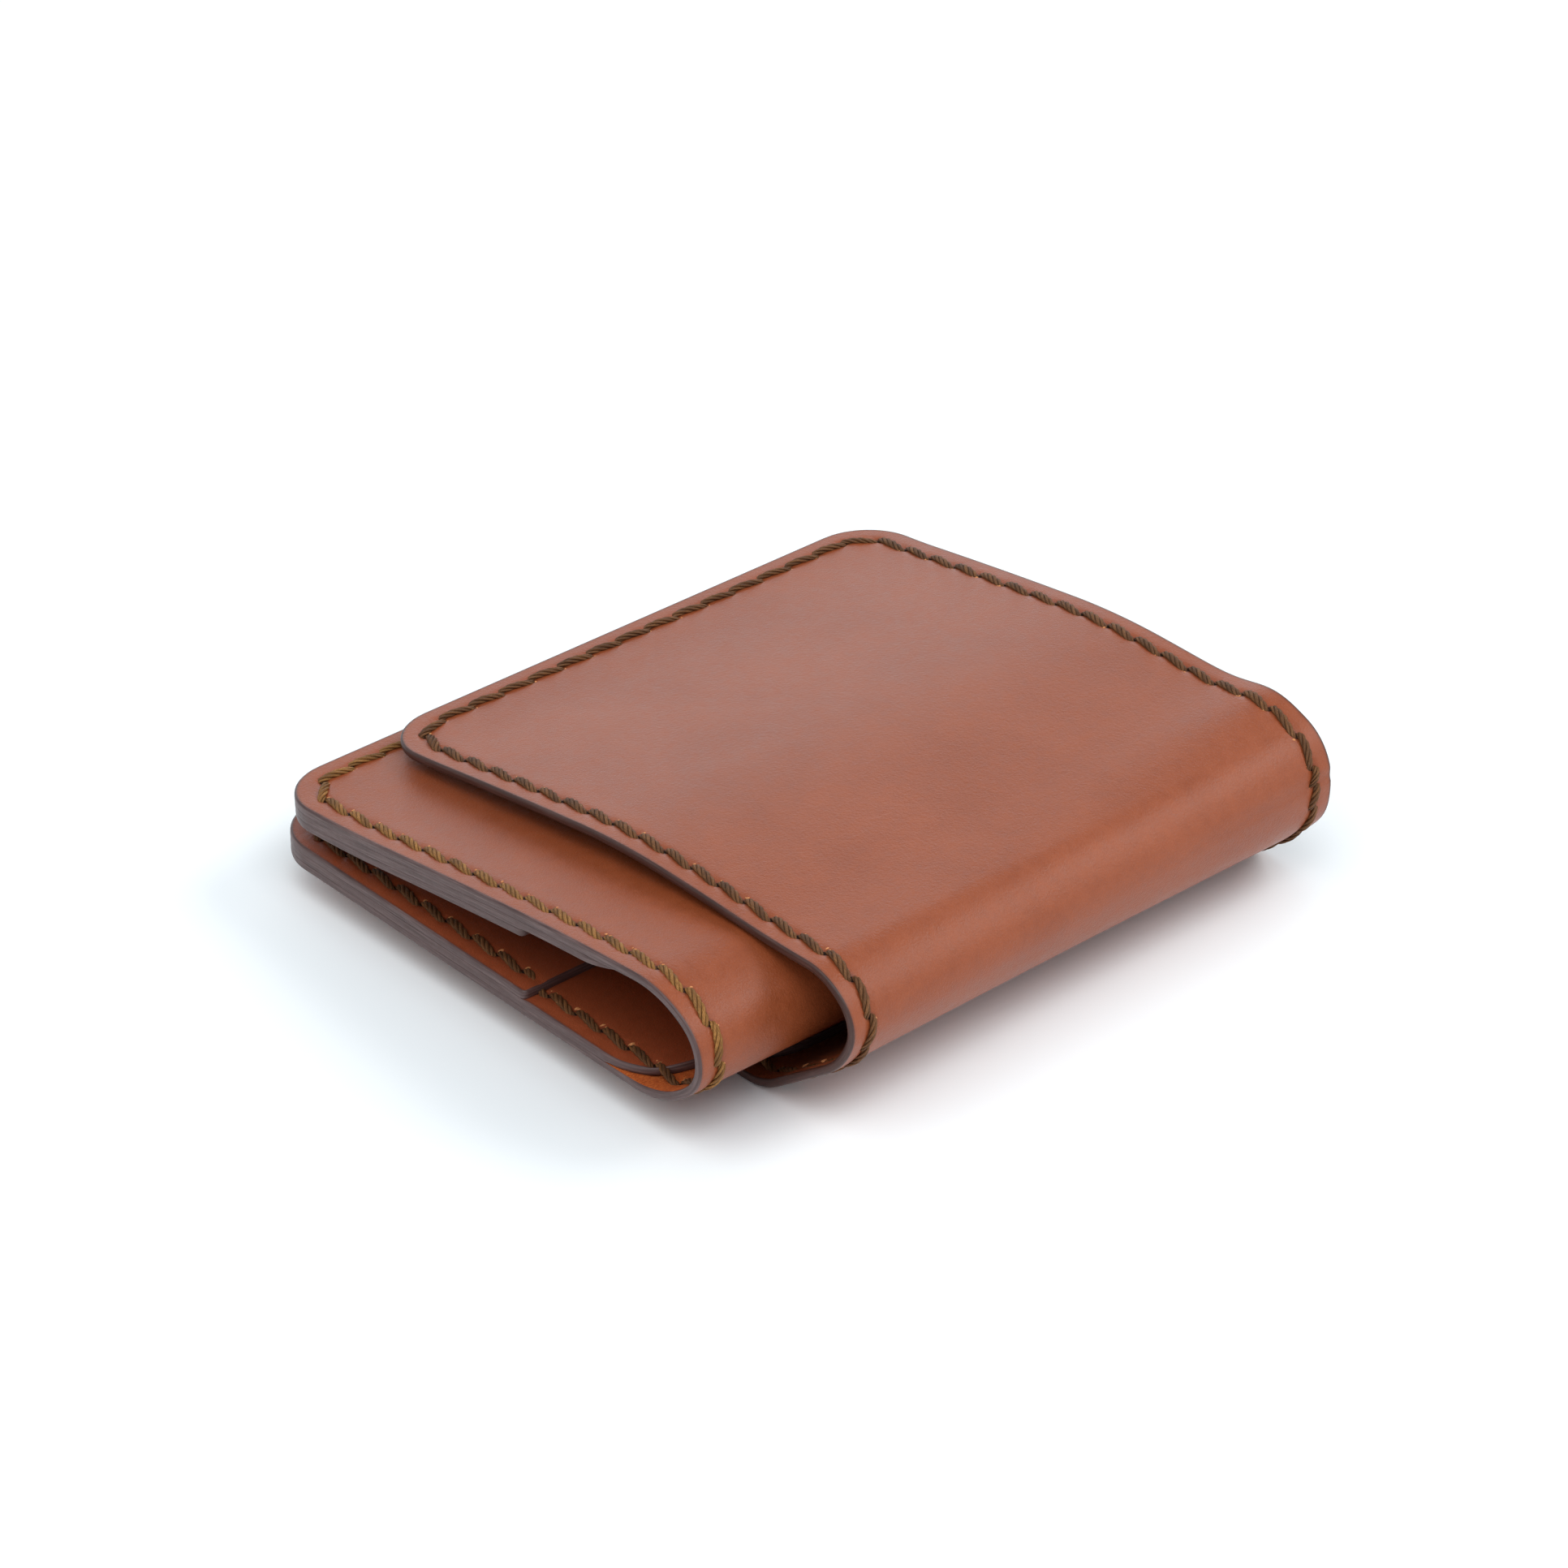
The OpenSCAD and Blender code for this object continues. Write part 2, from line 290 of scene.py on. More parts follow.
class Sheet:
    """A closed sheet of leather that follows a wallet's line."""

    def __init__(self, wallet, s0, s1, off_out, off_in, r0, r1, round_out, round_in):
        """round_out and round_in give the edge's rounding at lengths s."""
        self.wallet = wallet
        self.span = (s0, s1, r0, r1)
        self.rows = sheet_rows(s0, s1, r0, r1, wallet.joins)
        self.columns = sheet_columns()
        self.off = (off_out, off_in)
        middles = [self.row_middle(row) for row in range(len(self.rows))]
        self.round = (round_out(np.array(middles)), round_in(np.array(middles)))
        self.hide = []      # s, y, off of every vertex
        self.near = []      # how near a stitch hole it is
        self.faces = []
        self.slots = []
        self.count = 0
        self.build()

    def row_middle(self, row):
        """Roughly the length s at which a row lies."""
        end, _, s = self.rows[row]
        return s if end == 0 else self.span[0] if end < 0 else self.span[1]

    def outline(self, row, inset):
        """s and half-width of a row, moved in from the outline by inset."""
        s0, s1, r0, r1 = self.span
        end, angle, s = self.rows[row]
        if end == 0:
            return s, HALF_L - inset
        r = r0 if end < 0 else r1
        reach = (r - inset) * math.cos(angle)
        half = HALF_L - r + (r - inset) * math.sin(angle)
        return (s0 + r0 - reach, half) if end < 0 else (s1 - r1 + reach, half)

    def add(self, s, y, off, side):
        """Adds vertices on the inside (1), the outside (-1) or the edge (0)."""
        s, y = np.asarray(s, float), np.asarray(y, float)
        off = np.broadcast_to(np.asarray(off, float), s.shape).copy()
        near = np.zeros_like(s)
        if side:
            pull, near = seam_pull(self.wallet, s, y, side)
            off -= side * pull
        first = self.count
        self.hide.append(np.stack([s, y, off], -1))
        self.near.append(near)
        self.count += len(s)
        return first

    def face_grid(self, side):
        """The whole face on the inside (1) or the outside (-1)."""
        insets = self.round[1] if side > 0 else self.round[0]
        off = self.off[1] if side > 0 else self.off[0]
        s_all, y_all = [], []
        for row, inset in enumerate(insets):
            s, half = self.outline(row, inset)
            s_all.append(np.full(len(self.columns), s))
            y_all.append(self.columns * half)
        first = self.add(np.concatenate(s_all), np.concatenate(y_all), off, side)
        width = len(self.columns)
        for row in range(len(self.rows) - 1):
            a = first + row * width
            for col in range(width - 1):
                quad = (a + col, a + col + width, a + col + width + 1, a + col + 1)
                self.faces.append(quad if side > 0 else quad[::-1])
                self.slots.append(INSIDE if side > 0 else OUTSIDE)
        return first

    def loop_places(self):
        """The boundary of the grid as (row, column) pairs."""
        last_row = len(self.rows) - 1
        last_col = len(self.columns) - 1
        places = [(0, c) for c in range(last_col + 1)]
        places += [(r, last_col) for r in range(1, last_row)]
        places += [(last_row, c) for c in range(last_col, -1, -1)]
        places += [(r, 0) for r in range(last_row - 1, 0, -1)]
        return places

    def build(self):
        """Both faces, and the rounded edge that joins them."""
        width = len(self.columns)
        inside = self.face_grid(1)
        outside = self.face_grid(-1)
        places = self.loop_places()
        rings = [[inside + r * width + c for r, c in places]]
        for profile in zip(*self.edge_profile()):
            s_ring, y_ring, off_ring = [], [], []
            for r, c in places:
                inset, off = profile[r]
                s, half = self.outline(r, inset)
                s_ring.append(s)
                y_ring.append(self.columns[c] * half)
                off_ring.append(off)
            first = self.add(s_ring, y_ring, off_ring, 0)
            rings.append(list(range(first, first + len(places))))
        rings.append([outside + r * width + c for r, c in places])
        for a, b in zip(rings, rings[1:]):
            for k in range(len(places)):
                n = (k + 1) % len(places)
                self.faces.append((a[k], a[n], b[n], b[k]))
                self.slots.append(EDGE)
        self.rings = rings
        self.places = places
        self.grids = (inside, outside)
        self.hide = np.concatenate(self.hide)
        self.near = np.concatenate(self.near)
        self.points = self.wallet.place(*self.hide.T)
        self.normals = vertex_normals(self.points, self.faces)

    def edge_profile(self):
        """For each row, the (inset, off) of each ring from the inside to the outside."""
        off_out, off_in = self.off
        turns = [(1 - math.sin(a), 1 - math.cos(a)) for a in np.radians((30, 60, 90))]
        profiles = []
        for round_out, round_in in zip(*self.round):
            rings = [(round_in * u, off_in - round_in * v) for u, v in turns]
            rings.append((-EDGE_BULGE, (off_in - round_in + off_out + round_out) / 2))
            rings += [(round_out * u, off_out + round_out * v) for u, v in reversed(turns)]
            profiles.append(rings)
        return profiles

    def cap(self, row, forwards):
        """Faces that close the sheet at a row, looking along s or back."""
        width = len(self.columns)
        a = self.grids[0] + row * width
        b = self.grids[1] + row * width
        faces = [(a + c, a + c + 1, b + c + 1, b + c) for c in range(width - 1)]
        for col in (0, width - 1):
            k = self.places.index((row, col))
            ring = [ring[k] for ring in self.rings]
            faces.append(tuple(ring if col else ring[::-1]))
        return [f[::-1] if forwards else f for f in faces]

    def faces_between(self, s_from, s_to):
        """(face, slot, is a cap) of the closed part of the sheet between two lengths."""
        middles = np.array([self.hide[list(f), 0].mean() for f in self.faces])
        keep = np.nonzero((middles > s_from) & (middles < s_to))[0]
        found = [(self.faces[k], self.slots[k], False) for k in keep]
        for cut, forwards in ((s_from, False), (s_to, True)):
            rows = [k for k, r in enumerate(self.rows) if r[0] == 0 and abs(r[2] - cut) < 1e-6]
            if rows:
                found += [(face, OUTSIDE, True) for face in self.cap(rows[0], forwards)]
        return found

    def corner_normals(self, face, is_cap):
        """Smooth normals on the sheet's own surface, one flat normal on a cap."""
        if not is_cap:
            return [self.normals[v] for v in face]
        corner = self.points[list(face[:3])]
        flat = np.cross(corner[1] - corner[0], corner[2] - corner[0])
        size = np.linalg.norm(flat)
        flat = flat / size if size > 0 else np.array([0, 0, 1.0])
        return [flat] * len(face)

    def piece(self, name, s_from, s_to, materials):
        """The part of the sheet from s_from to s_to as an object."""
        found = self.faces_between(s_from, s_to)
        used = np.unique(np.concatenate([np.array(face) for face, _, _ in found]))
        new = np.full(self.count, -1)
        new[used] = np.arange(len(used))
        faces = [[int(new[v]) for v in face] for face, _, _ in found]
        obj = new_object(name, self.points[used], faces)
        set_slots(obj, [slot for _, slot, _ in found], materials)
        s, y, _ = self.hide[used].T
        store(obj, "hide", self.hide[used])
        store(obj, "near_hole", self.near[used])
        gap = panel_inset(s, y, 0, self.wallet.length, CORNER_R, CORNER_R)
        store(obj, "edge_gap", gap)
        normals = []
        for face, _, is_cap in found:
            normals += self.corner_normals(face, is_cap)
        obj.data.normals_split_custom_set([tuple(n) for n in normals])
        return obj


def vertex_normals(points, faces):
    """Smooth normals of a mesh of quads."""
    quads = np.array(faces)
    a, b, c, d = (points[quads[:, k]] for k in range(4))
    flat = np.cross(c - a, d - b)
    normals = np.zeros_like(points)
    for k in range(4):
        np.add.at(normals, quads[:, k], flat)
    size = np.linalg.norm(normals, axis=1)[:, None]
    return normals / np.maximum(size, 1e-20)


def new_object(name, points, faces):
    """A smooth mesh object in the scene."""
    mesh = bpy.data.meshes.new(name)
    mesh.from_pydata([tuple(p) for p in points], [], faces)
    mesh.update()
    obj = bpy.data.objects.new(name, mesh)
    bpy.context.scene.collection.objects.link(obj)
    mesh.polygons.foreach_set("use_smooth", [True] * len(mesh.polygons))
    return obj


def set_slots(obj, slots, materials):
    for material in materials:
        obj.data.materials.append(material)
    obj.data.polygons.foreach_set("material_index", slots)


def store(obj, name, values):
    """Keeps numbers on the vertices for the materials to read."""
    values = np.asarray(values, np.float32)
    kind = "FLOAT_VECTOR" if values.ndim == 2 else "FLOAT"
    attribute = obj.data.attributes.new(name, kind, "POINT")
    attribute.data.foreach_set("vector" if values.ndim == 2 else "value", values.ravel())


# ---- thread ----

RINGS = 14          # along a stitch
SIDES = 7           # round one ply
PLIES = 4
PLY_R = 0.31        # of one ply, across the stitch
HELIX_R = 0.43      # of the middle of a ply round the middle of the thread
THREAD_FLAT = 0.62  # height of the thread as a share of its width
SLANT = 0.62        # how far the ends of a stitch lie off the seam
TWIST = 1.1         # turns of the plies in one stitch
OVERRUN = 0.34      # how far a stitch runs on past its holes
DIP = 0.55          # how far the ends of a stitch go into the leather
LUMP_SIDES = 8      # round a hole mark or a torn scrap
STAND = 0.60        # how far stitches stand above the leather
STAND_OUTER = 0.62  # the same on the outside of the outer wallet
STAND_LOW = 0.40    # the same where the two wallets lie against each other
STAND_NEST = 0.05   # the same inside the outer fold and flap, for the inner wallet to pass
SLIT = (1.05, 0.5, 0.06)    # half length, half width and height of the dark slit of painted shade at a hole
SLIT_LEAN = 0.35            # how far the mark leans along the seam
SLIT_RAISE = 0.12           # how far it lies above the bottom of the dent


def stitch_surface(wallet, s, y, outside):
    """Offset of the leather's surface at a hole."""
    return np.full(np.shape(s), -SHELL) if outside else wallet.inside_top(s, y)


def stitch_stand(wallet, outside, s, y):
    """How far a stitch stands above the leather: least where the wallets touch."""
    if wallet.name == "outer":
        if outside:
            return 0.0 if s < FLAT_END + 6 else STAND_OUTER
        return STAND_LOW if s < 90 else STAND_NEST
    near_fold = 92 <= s <= 112 and y <= 0
    if outside and s < 150 and not near_fold:
        return STAND_LOW
    return STAND


def seam_thread(wallet, outside, rng):
    """The stitches on one face of a wallet."""
    stitches = []
    holes, direction = wallet.holes, wallet.hole_direction
    across = np.stack([-direction[:, 1], direction[:, 0]], -1)
    up = -1.0 if outside else 1.0
    count = len(holes)
    for k in range(count):
        n = (k + 1) % count
        a = holes[k] + up * SLANT * across[k]
        b = holes[n] - up * SLANT * across[n]
        grow = OVERRUN * (b - a) / np.linalg.norm(b - a)
        a, b = a - grow, b + grow
        tops = stitch_surface(wallet, *holes[[k, n]].T, outside)
        stand = stitch_stand(wallet, outside, *((a + b) / 2))
        stitches.append(stitch_mesh(wallet, a, b, tops, up, stand, rng))
    return stitches


def stitch_mesh(wallet, a, b, tops, up, stand, rng):
    """One stitch from a to b: plies twisted round each other that dip at both ends."""
    along = np.linspace(0, 1, RINGS)
    middle = a[None, :] + (b - a)[None, :] * along[:, None]
    side = np.array([-(b - a)[1], (b - a)[0]])
    side /= np.linalg.norm(side)
    bulge = np.sin(np.pi * along) ** 0.5
    half_height = (PLY_R + HELIX_R) * THREAD_FLAT
    base = tops[0] + (tops[1] - tops[0]) * smooth(along)
    centre = base + up * (stand - half_height) * bulge - up * DIP * (1 - bulge)
    width = 0.55 + 0.45 * bulge
    start_turn = rng.uniform(-0.5, 0.5)
    size = rng.uniform(0.94, 1.06)
    tint = rng.uniform(0, 1)
    points, faces, strand = [], [], []
    for ply in range(PLIES):
        turn = 2 * math.pi * ply / PLIES + start_turn + 2 * math.pi * TWIST * along
        ply_side = HELIX_R * size * np.cos(turn) * width
        ply_up = HELIX_R * THREAD_FLAT * size * np.sin(turn) * width
        for ring in range(RINGS):
            radius = PLY_R * size * width[ring]
            for k in range(SIDES):
                angle = 2 * math.pi * k / SIDES
                spot = middle[ring] + side * (ply_side[ring] + radius * math.cos(angle))
                lift = ply_up[ring] + radius * THREAD_FLAT * math.sin(angle)
                points.append((spot[0], spot[1], centre[ring] + lift))
                strand.append((along[ring] * PITCH, angle + turn[ring], 9 * tint + 1.7 * ply))
        faces += tube_faces(ply * RINGS * SIDES)
    return {
        "points": wallet.place(*np.array(points).T),
        "faces": faces,
        # painted shade: the inner wallet's stitches on its inside take the darker brown thread, while
        # its outside stitches are golden; on the outer wallet brown is the thread's own colour
        "slots": [GOLDEN if wallet.name == "inner" and up < 0 else BROWN] * len(faces),
        "strand": np.array(strand),
        "s": (a[0] + b[0]) / 2,
    }


def tube_faces(first):
    """Faces of one ply, whose points begin at index first."""
    faces = []
    for ring in range(RINGS - 1):
        p = first + ring * SIDES
        for k in range(SIDES):
            m = (k + 1) % SIDES
            faces.append((p + k, p + m, p + SIDES + m, p + SIDES + k))
    end = first + (RINGS - 1) * SIDES
    faces.append(tuple(first + k for k in range(SIDES))[::-1])
    faces.append(tuple(end + k for k in range(SIDES)))
    return faces


def smooth(t):
    """0 to 1 as t goes from 0 to 1, level at both ends."""
    return t * t * (3 - 2 * t)


def hole_marks(wallet, outside, rng):
    """A dark slit of painted shade at every hole, and the torn leather that stands round it."""
    marks = []
    up = -1.0 if outside else 1.0
    most = 0.20 if outside else 0.30        # half width of the widest torn scrap
    tops = stitch_surface(wallet, wallet.holes[:, 0], wallet.holes[:, 1], outside)
    for hole, direction, top in zip(wallet.holes, wallet.hole_direction, tops):
        across = np.array([-direction[1], direction[0]])
        slit = across * up + direction * SLIT_LEAN
        slit /= np.linalg.norm(slit)
        cut = np.array([-slit[1], slit[0]])
        groove = FLAT_GROOVE if lies_flat(wallet, hole[0], up) else GROOVE
        surface = top - up * (groove + DENT - SLIT_RAISE)
        shape = (slit * SLIT[0], cut * SLIT[1], surface, up * SLIT[2])
        # painted shade: a dark slit stands for the shadowed inside of the hole
        marks.append(lump(wallet, hole, *shape, HOLE_SHADE, rng, 0.1))
        surface = top - up * (groove * 0.6 + 0.04)
        for _ in range(rng.integers(1, 4)):
            spot = hole + across * rng.uniform(0.75, 1.15) + direction * rng.uniform(-0.7, 0.5)
            size = rng.uniform(0.4, 1.0) * most
            length = slit * size * rng.uniform(1.0, 2.2)
            height = up * size * 0.7
            marks.append(lump(wallet, spot, length, cut * size, surface, height, TORN, rng, 0.35))
    return marks


def lump(wallet, spot, long_axis, short_axis, surface, height, slot, rng, rough):
    """A low bump, uneven by the share rough."""
    points, faces = [], []
    sides = LUMP_SIDES
    for ring, (reach, rise) in enumerate(((1.0, -0.6), (0.8, 0.45), (0.4, 0.9))):
        for k in range(sides):
            angle = 2 * math.pi * k / sides
            wobble = 1 + rough * rng.uniform(-1, 1)
            place = spot + (
                long_axis * math.cos(angle) + short_axis * math.sin(angle)
            ) * reach * wobble
            points.append((place[0], place[1], surface + height * rise))
    points.append((spot[0], spot[1], surface + height))
    points.append((spot[0], spot[1], surface - height * 0.6))
    for ring in range(2):
        for k in range(sides):
            m = (k + 1) % sides
            p = ring * sides
            faces.append((p + k, p + m, p + sides + m, p + sides + k))
    for k in range(sides):
        m = (k + 1) % sides
        faces.append((2 * sides + k, 2 * sides + m, 3 * sides))
        faces.append((m, k, 3 * sides + 1))
    points = np.array(points)
    return {
        "points": wallet.place(*points.T),
        "faces": faces,
        "slots": [slot] * len(faces),
        "strand": points,
        "s": float(spot[0]),
    }


def joined(name, parts, materials):
    """One object from many small closed meshes, with outward normals."""
    points, faces, slots, strand = [], [], [], []
    count = 0
    for part in parts:
        points.append(part["points"])
        faces += [[v + count for v in face] for face in part["faces"]]
        slots += part["slots"]
        strand.append(part["strand"])
        count += len(part["points"])
    obj = new_object(name, np.concatenate(points), faces)
    set_slots(obj, slots, materials)
    store(obj, "hide", np.concatenate(strand))
    turn_outwards(obj)
    return obj


def turn_outwards(obj):
    bm = bmesh.new()
    bm.from_mesh(obj.data)
    bmesh.ops.recalc_face_normals(bm, faces=bm.faces)
    bm.to_mesh(obj.data)
    bm.free()


# ---- materials ----

class Nodes:
    """Short ways to add shader nodes."""

    def __init__(self, name):
        self.material = bpy.data.materials.new(name)
        self.material.use_nodes = True
        self.tree = self.material.node_tree
        self.shader = self.tree.nodes["Principled BSDF"]

    def node(self, kind, **values):
        node = self.tree.nodes.new(kind)
        for key, value in values.items():
            setattr(node, key, value)
        return node

    def link(self, a, b):
        self.tree.links.new(a, b)

    def attribute(self, name):
        return self.node("ShaderNodeAttribute", attribute_name=name)

    def mapped(self, vector, scale, shift=(0, 0, 0)):
        node = self.node("ShaderNodeMapping")
        node.inputs["Scale"].default_value = scale
        node.inputs["Location"].default_value = shift
        self.link(vector, node.inputs["Vector"])
        return node.outputs["Vector"]

    def noise(self, vector, scale, detail=4.0, rough=0.55, distort=0.0):
        node = self.node("ShaderNodeTexNoise")
        node.inputs["Scale"].default_value = scale
        node.inputs["Detail"].default_value = detail
        node.inputs["Roughness"].default_value = rough
        node.inputs["Distortion"].default_value = distort
        self.link(vector, node.inputs["Vector"])
        return node.outputs["Fac"]

    def cells(self, vector, scale):
        node = self.node("ShaderNodeTexVoronoi", feature="DISTANCE_TO_EDGE")
        node.inputs["Scale"].default_value = scale
        self.link(vector, node.inputs["Vector"])
        return node.outputs["Distance"]

    def ranged(self, value, low, high, to_low=0.0, to_high=1.0):
        node = self.node("ShaderNodeMapRange")
        for key, number in (
            ("From Min", low), ("From Max", high), ("To Min", to_low), ("To Max", to_high),
        ):
            node.inputs[key].default_value = number
        self.link(value, node.inputs["Value"])
        return node.outputs["Result"]

    def ramp(self, value, stops):
        node = self.node("ShaderNodeValToRGB")
        ramp = node.color_ramp
        while len(ramp.elements) < len(stops):
            ramp.elements.new(0.5)
        for element, (place, colour) in zip(ramp.elements, stops):
            element.position = place
            element.color = (*colour, 1)
        self.link(value, node.inputs["Fac"])
        return node.outputs["Color"]

    def mix(self, factor, a, b, blend="MIX"):
        node = self.node("ShaderNodeMix", data_type="RGBA", blend_type=blend)
        if isinstance(factor, float):
            node.inputs["Factor"].default_value = factor
        else:
            self.link(factor, node.inputs["Factor"])
        for socket, value in ((node.inputs[6], a), (node.inputs[7], b)):
            if isinstance(value, tuple):
                socket.default_value = (*value, 1)
            else:
                self.link(value, socket)
        return node.outputs[2]

    def bump(self, height, strength, distance, below=None):
        node = self.node("ShaderNodeBump")
        node.inputs["Strength"].default_value = strength
        node.inputs["Distance"].default_value = distance
        self.link(height, node.inputs["Height"])
        if below is not None:
            self.link(below, node.inputs["Normal"])
        return node.outputs["Normal"]

    def set(self, **values):
        for key, value in values.items():
            socket = self.shader.inputs[key.replace("_", " ")]
            if isinstance(value, (float, tuple)):
                socket.default_value = value
            else:
                self.link(value, socket)


def leather_material(name, light, dark, shift, shine):
    """Smooth grain side: cloudy colour, fine pores, darker by the edges, and painted shade round the
    holes.
    """
    n = Nodes(name)
    place = n.mapped(n.attribute("hide").outputs["Vector"], (1, 1, 1), shift)
    clouds = n.noise(place, 0.045, 5.0, 0.6, 0.4)
    mottle = n.noise(place, 0.55, 5.0, 0.65)
    colour = n.mix(n.ranged(clouds, 0.32, 0.68), dark, light)
    shade = n.ramp(mottle, [(0.30, (0.80, 0.76, 0.74)), (0.62, (1.0, 1.0, 1.0))])
    colour = n.mix(0.55, colour, shade, "MULTIPLY")
    pores = n.cells(place, 2.6)
    pore_dark = n.ramp(pores, [(0.0, (0.72, 0.66, 0.62)), (0.16, (1.0, 1.0, 1.0))])
    colour = n.mix(0.30, colour, pore_dark, "MULTIPLY")
    # painted shade: the leather turns near black right round each stitch hole, in its dent
    hole = n.ranged(n.attribute("near_hole").outputs["Fac"], 0.25, 0.95)
    colour = n.mix(hole, colour, (0.045, 0.016, 0.008))
    rim = n.ranged(n.attribute("edge_gap").outputs["Fac"], 0.15, 0.75, 0.75, 0.0)
    colour = n.mix(rim, colour, (0.075, 0.026, 0.018))
    fine = n.noise(place, 2.3, 4.0, 0.65)
    rough = n.ranged(mottle, 0.3, 0.7, shine - 0.05, shine + 0.07)
    normal = n.bump(pores, 0.6, 0.00005, n.bump(clouds, 0.2, 0.0005))
    normal = n.bump(fine, 0.8, 0.00011, normal)
    n.set(Base_Color=colour, Roughness=rough, Normal=normal, IOR=1.47)
    n.set(Specular_IOR_Level=0.38)
    return n.material


def flesh_material(name, depth):
    """Raw flesh side: orange, napped and fibrous; depth darkens it with painted shade."""
    n = Nodes(name)
    place = n.attribute("hide").outputs["Vector"]
    nap = n.noise(n.mapped(place, (1.0, 0.45, 1.0)), 3.2, 6.0, 0.7, 1.2)
    patch = n.noise(place, 0.12, 4.0, 0.6)
    colour = n.ramp(
        nap, [(0.28, (0.24, 0.040, 0.008)), (0.5, (0.50, 0.100, 0.019)), (0.7, (0.70, 0.21, 0.05))]
    )
    colour = n.mix(n.ranged(patch, 0.3, 0.7, 0.0, 0.45), colour, (0.33, 0.060, 0.012))
    # painted shade: depth mixes the flesh towards near black, for the shadowed inside of the outer
    # wallet
    colour = n.mix(depth, colour, (0.045, 0.014, 0.006))
    normal = n.bump(nap, 0.9, 0.00018)
    n.set(Base_Color=colour, Roughness=0.92, Normal=normal, Specular_IOR_Level=0.2)
    return n.material


def edge_material(name, dark, middle, light):
    """Burnished edge: brown, polished, with streaks that follow the layers."""
    n = Nodes(name)
    place = n.attribute("hide").outputs["Vector"]
    streak = n.noise(n.mapped(place, (0.16, 0.16, 5.5)), 1.0, 5.0, 0.65)
    fleck = n.noise(place, 1.4, 5.0, 0.7)
    colour = n.ramp(streak, [(0.30, dark), (0.5, middle), (0.72, light)])
    dust = n.ranged(fleck, 0.62, 0.82, 0.0, 0.5)
    colour = n.mix(dust, colour, light)
    rough = n.ranged(fleck, 0.3, 0.7, 0.34, 0.52)
    normal = n.bump(streak, 0.5, 0.00006)
    normal = n.bump(fleck, 0.3, 0.00005, normal)
    n.set(Base_Color=colour, Roughness=rough, Normal=normal, Specular_IOR_Level=0.42)
    return n.material


def thread_material(name, dark, middle, light):
    """Waxed linen: fine fibres along each ply, tinted ply by ply, with painted shade in the crevices
    between the plies.
    """
    n = Nodes(name)
    place = n.attribute("hide").outputs["Vector"]
    fibre = n.noise(n.mapped(place, (1.2, 3.2, 1.0)), 2.2, 5.0, 0.75, 0.3)
    tint = n.noise(n.mapped(place, (0.25, 0.1, 1.0)), 0.9, 2.0, 0.5)
    colour = n.ramp(fibre, [(0.32, dark), (0.5, middle), (0.68, light)])
    colour = n.mix(n.ranged(tint, 0.35, 0.65, 0.0, 0.6), colour, dark)
    # painted shade: ambient occlusion darkens the thread where its plies meet
    ply_crevice_shade = n.node("ShaderNodeAmbientOcclusion", samples=4, only_local=True)
    ply_crevice_shade.inputs["Distance"].default_value = 0.0004
    shade = n.ranged(ply_crevice_shade.outputs["AO"], 0.3, 0.85, 0.35, 1.0)
    colour = n.mix(shade, dark, colour)
    normal = n.bump(fibre, 0.9, 0.0001)
    n.set(Base_Color=colour, Roughness=0.55, Normal=normal, Specular_IOR_Level=0.25)
    return n.material


def hole_shade_material():
    """Painted shade: the dark inside of a stitch hole."""
    n = Nodes("stitch_hole_shade")
    place = n.attribute("hide").outputs["Vector"]
    dust = n.noise(place, 3.0, 3.0)
    colour = n.ramp(dust, [(0.3, (0.012, 0.005, 0.003)), (0.7, (0.035, 0.014, 0.008))])
    n.set(Base_Color=colour, Roughness=0.85, Specular_IOR_Level=0.15)
    return n.material


def torn_material():
    """Pale scraps of leather pushed up by the awl."""
    n = Nodes("torn_leather")
    place = n.attribute("hide").outputs["Vector"]
    grain = n.noise(place, 4.0, 4.0, 0.7)
    colour = n.ramp(grain, [(0.3, (0.42, 0.12, 0.03)), (0.7, (0.80, 0.36, 0.14))])
    n.set(Base_Color=colour, Roughness=0.8, Normal=n.bump(grain, 0.6, 0.0001))
    return n.material


def floor_material():
    """White paper, very slightly uneven in tone."""
    n = Nodes("floor_white")
    place = n.node("ShaderNodeTexCoord").outputs["Object"]
    tone = n.noise(place, 6.0, 3.0)
    colour = n.ramp(tone, [(0.3, (0.93, 0.935, 0.94)), (0.7, (0.95, 0.955, 0.96))])
    n.set(Base_Color=colour, Roughness=0.9, Specular_IOR_Level=0.1)
    return n.material


# ---- the object ----

def wallets():
    """The outer wallet on the table and the inner one pushed into it."""
    outer = Wallet(
        "outer", OUTER_LINE, free_x=-40.5, lift=0.0, shift=0.0, pinch=PINCH,
        joins=(97.0, 112.75), hinges=((82.3, 91.0), (99.0, 111.5), (113.2, 122.0)),
        pockets=[(*LOWER, 0, 83.0, CORNER_R, POCKET_R), (*UPPER, 0, 55.0, CORNER_R, MOUTH_R)],
    )
    inner = Wallet(
        "inner", INNER_LINE, free_x=-44.0, lift=5.0, shift=-17.5, pinch=(),
        joins=(94.1, 104.1), hinges=((86.1, 93.7), (94.9, 103.3), (104.7, 113.1)),
        pockets=[(*LOWER, 0, 86.6, CORNER_R, POCKET_R), (*UPPER, 0, 58.5, CORNER_R, MOUTH_R)],
    )
    end = inner.length
    inner.pockets += [
        (*LOWER, end - 81.0, end, POCKET_R, CORNER_R),
        (*UPPER, end - 57.0, end, MOUTH_R, CORNER_R),
    ]
    outer.holes, outer.hole_direction = seam_holes(outer.length, count=106, hole_s=161.5)
    inner.holes, inner.hole_direction = seam_holes(inner.length, count=97, hole_s=144.4)
    return outer, inner


